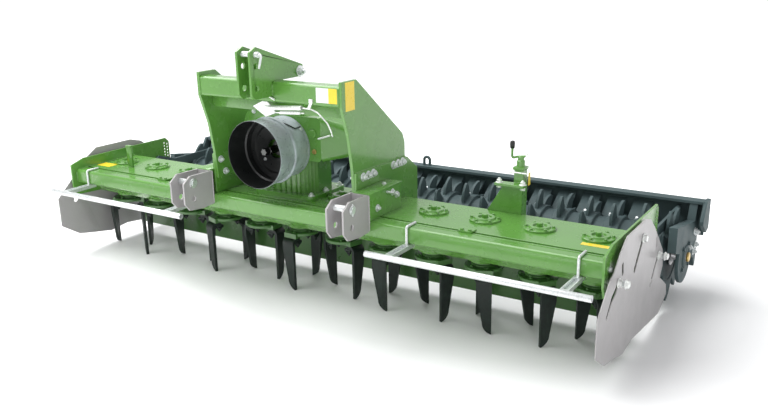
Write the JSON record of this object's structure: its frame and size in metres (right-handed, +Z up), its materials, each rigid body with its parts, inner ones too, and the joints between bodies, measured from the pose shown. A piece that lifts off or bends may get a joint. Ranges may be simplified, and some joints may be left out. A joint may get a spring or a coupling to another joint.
{
  "type": "power harrow",
  "caption": "Tractor-mounted power harrow: gear trough with a row of paired tines, three-point headstock, drive gearbox, side shields, levelling board and toothed packer roller",
  "frame": {"origin": "centre of the footprint on the floor the tines and roller stand on", "axes": "+X across the working width, +Y to the rear (roller side), -Y to the tractor, +Z up"},
  "size_m": [3.22, 1.386, 1.222],
  "materials": {
    "green_paint": "gloss leaf green paint",
    "grey_paint": "warm light grey paint",
    "zinc": "zinc plated",
    "tine_steel": "dark forged steel",
    "frame_paint": "dark blue-grey paint",
    "black_plastic": "black moulded plastic",
    "bare_steel": "bare machined steel"
  },
  "bodies": {
    "main_frame": {"gear_trough": "green_paint", "trough_lid": "green_paint", "rotor_caps": "green_paint", "front_beam": "green_paint", "end_plate_right": "green_paint", "end_plate_left": "green_paint", "shield_studs": "zinc", "headstock_tube": "green_paint", "headstock_side_right": "green_paint", "headstock_side_left": "green_paint", "headstock_bracket_right": "green_paint", "headstock_bracket_left": "green_paint", "hitch_boxes": "green_paint", "lower_clevis_right": "grey_paint", "lower_clevis_left": "grey_paint", "lower_link_pins": "zinc", "top_link_clevis": "green_paint", "top_link_pin": "zinc", "gearbox": "green_paint", "pto_guard": "black_plastic", "shaft_rest": "zinc", "guard_rail_right": "zinc", "guard_rail_left": "zinc", "level_posts": "green_paint", "level_cranks": "green_paint", "roller_pivots": "zinc"},
    "rotor_01": {"rotor_01_holder": "green_paint", "rotor_01_tines": "tine_steel"},
    "rotor_02": {"rotor_02_holder": "green_paint", "rotor_02_tines": "tine_steel"},
    "rotor_03": {"rotor_03_holder": "green_paint", "rotor_03_tines": "tine_steel"},
    "rotor_04": {"rotor_04_holder": "green_paint", "rotor_04_tines": "tine_steel"},
    "rotor_05": {"rotor_05_holder": "green_paint", "rotor_05_tines": "tine_steel"},
    "rotor_06": {"rotor_06_holder": "green_paint", "rotor_06_tines": "tine_steel"},
    "rotor_07": {"rotor_07_holder": "green_paint", "rotor_07_tines": "tine_steel"},
    "rotor_08": {"rotor_08_holder": "green_paint", "rotor_08_tines": "tine_steel"},
    "rotor_09": {"rotor_09_holder": "green_paint", "rotor_09_tines": "tine_steel"},
    "rotor_10": {"rotor_10_holder": "green_paint", "rotor_10_tines": "tine_steel"},
    "rotor_11": {"rotor_11_holder": "green_paint", "rotor_11_tines": "tine_steel"},
    "rotor_12": {"rotor_12_holder": "green_paint", "rotor_12_tines": "tine_steel"},
    "drive_shaft": {"pto_stub": "bare_steel"},
    "roller_frame": {"roller_arm_right": "frame_paint", "roller_arm_left": "frame_paint", "roller_beam": "frame_paint", "scrapers": "frame_paint"},
    "roller": {"packer_roller": "frame_paint", "roller_shafts": "bare_steel"},
    "levelling_board": {"levelling_bar": "green_paint"},
    "shield_right": {"side_shield_right": "grey_paint"},
    "shield_left": {"side_shield_left": "grey_paint"}
  },
  "joints": [
    {"name": "rotor_01_spin", "type": "hinge", "parent": "main_frame", "child": "rotor_01", "pos_m": [-1.375, -0.245, 0.27], "axis": [0, 0, 1], "continuous": true},
    {"name": "rotor_02_spin", "type": "hinge", "parent": "main_frame", "child": "rotor_02", "pos_m": [-1.125, -0.245, 0.27], "axis": [0, 0, 1], "continuous": true},
    {"name": "rotor_03_spin", "type": "hinge", "parent": "main_frame", "child": "rotor_03", "pos_m": [-0.875, -0.245, 0.27], "axis": [0, 0, 1], "continuous": true},
    {"name": "rotor_04_spin", "type": "hinge", "parent": "main_frame", "child": "rotor_04", "pos_m": [-0.625, -0.245, 0.27], "axis": [0, 0, 1], "continuous": true},
    {"name": "rotor_05_spin", "type": "hinge", "parent": "main_frame", "child": "rotor_05", "pos_m": [-0.375, -0.245, 0.27], "axis": [0, 0, 1], "continuous": true},
    {"name": "rotor_06_spin", "type": "hinge", "parent": "main_frame", "child": "rotor_06", "pos_m": [-0.125, -0.245, 0.27], "axis": [0, 0, 1], "continuous": true},
    {"name": "rotor_07_spin", "type": "hinge", "parent": "main_frame", "child": "rotor_07", "pos_m": [0.125, -0.245, 0.27], "axis": [0, 0, 1], "continuous": true},
    {"name": "rotor_08_spin", "type": "hinge", "parent": "main_frame", "child": "rotor_08", "pos_m": [0.375, -0.245, 0.27], "axis": [0, 0, 1], "continuous": true},
    {"name": "rotor_09_spin", "type": "hinge", "parent": "main_frame", "child": "rotor_09", "pos_m": [0.625, -0.245, 0.27], "axis": [0, 0, 1], "continuous": true},
    {"name": "rotor_10_spin", "type": "hinge", "parent": "main_frame", "child": "rotor_10", "pos_m": [0.875, -0.245, 0.27], "axis": [0, 0, 1], "continuous": true},
    {"name": "rotor_11_spin", "type": "hinge", "parent": "main_frame", "child": "rotor_11", "pos_m": [1.125, -0.245, 0.27], "axis": [0, 0, 1], "continuous": true},
    {"name": "rotor_12_spin", "type": "hinge", "parent": "main_frame", "child": "rotor_12", "pos_m": [1.375, -0.245, 0.27], "axis": [0, 0, 1], "continuous": true},
    {"name": "pto_spin", "type": "hinge", "parent": "main_frame", "child": "drive_shaft", "pos_m": [-0.125, -0.445, 0.727], "axis": [0, 1, 0], "continuous": true},
    {"name": "roller_swing", "type": "hinge", "parent": "main_frame", "child": "roller_frame", "pos_m": [0, 0.085, 0.4], "axis": [1, 0, 0], "range_deg": [-15, 0]},
    {"name": "roller_spin", "type": "hinge", "parent": "roller_frame", "child": "roller", "pos_m": [0, 0.45, 0.22223], "axis": [1, 0, 0], "continuous": true},
    {"name": "level_slide", "type": "slide", "parent": "main_frame", "child": "levelling_board", "axis": [0, 0, 1], "range_m": [-0.06, 0.09]},
    {"name": "shield_right_slide", "type": "slide", "parent": "main_frame", "child": "shield_right", "axis": [0, 0.6561, 0.7547], "range_m": [0, 0.14]},
    {"name": "shield_left_slide", "type": "slide", "parent": "main_frame", "child": "shield_left", "axis": [0, 0.6561, 0.7547], "range_m": [-0.033, 0.107]}
  ],
  "couplings": [
    {"joint": "rotor_01_spin", "follows": "rotor_06_spin", "ratio": -1},
    {"joint": "rotor_02_spin", "follows": "rotor_06_spin", "ratio": 1},
    {"joint": "rotor_03_spin", "follows": "rotor_06_spin", "ratio": -1},
    {"joint": "rotor_04_spin", "follows": "rotor_06_spin", "ratio": 1},
    {"joint": "rotor_05_spin", "follows": "rotor_06_spin", "ratio": -1},
    {"joint": "rotor_07_spin", "follows": "rotor_06_spin", "ratio": -1},
    {"joint": "rotor_08_spin", "follows": "rotor_06_spin", "ratio": 1},
    {"joint": "rotor_09_spin", "follows": "rotor_06_spin", "ratio": -1},
    {"joint": "rotor_10_spin", "follows": "rotor_06_spin", "ratio": 1},
    {"joint": "rotor_11_spin", "follows": "rotor_06_spin", "ratio": -1},
    {"joint": "rotor_12_spin", "follows": "rotor_06_spin", "ratio": 1},
    {"joint": "pto_spin", "follows": "rotor_06_spin", "ratio": 2.857}
  ]
}
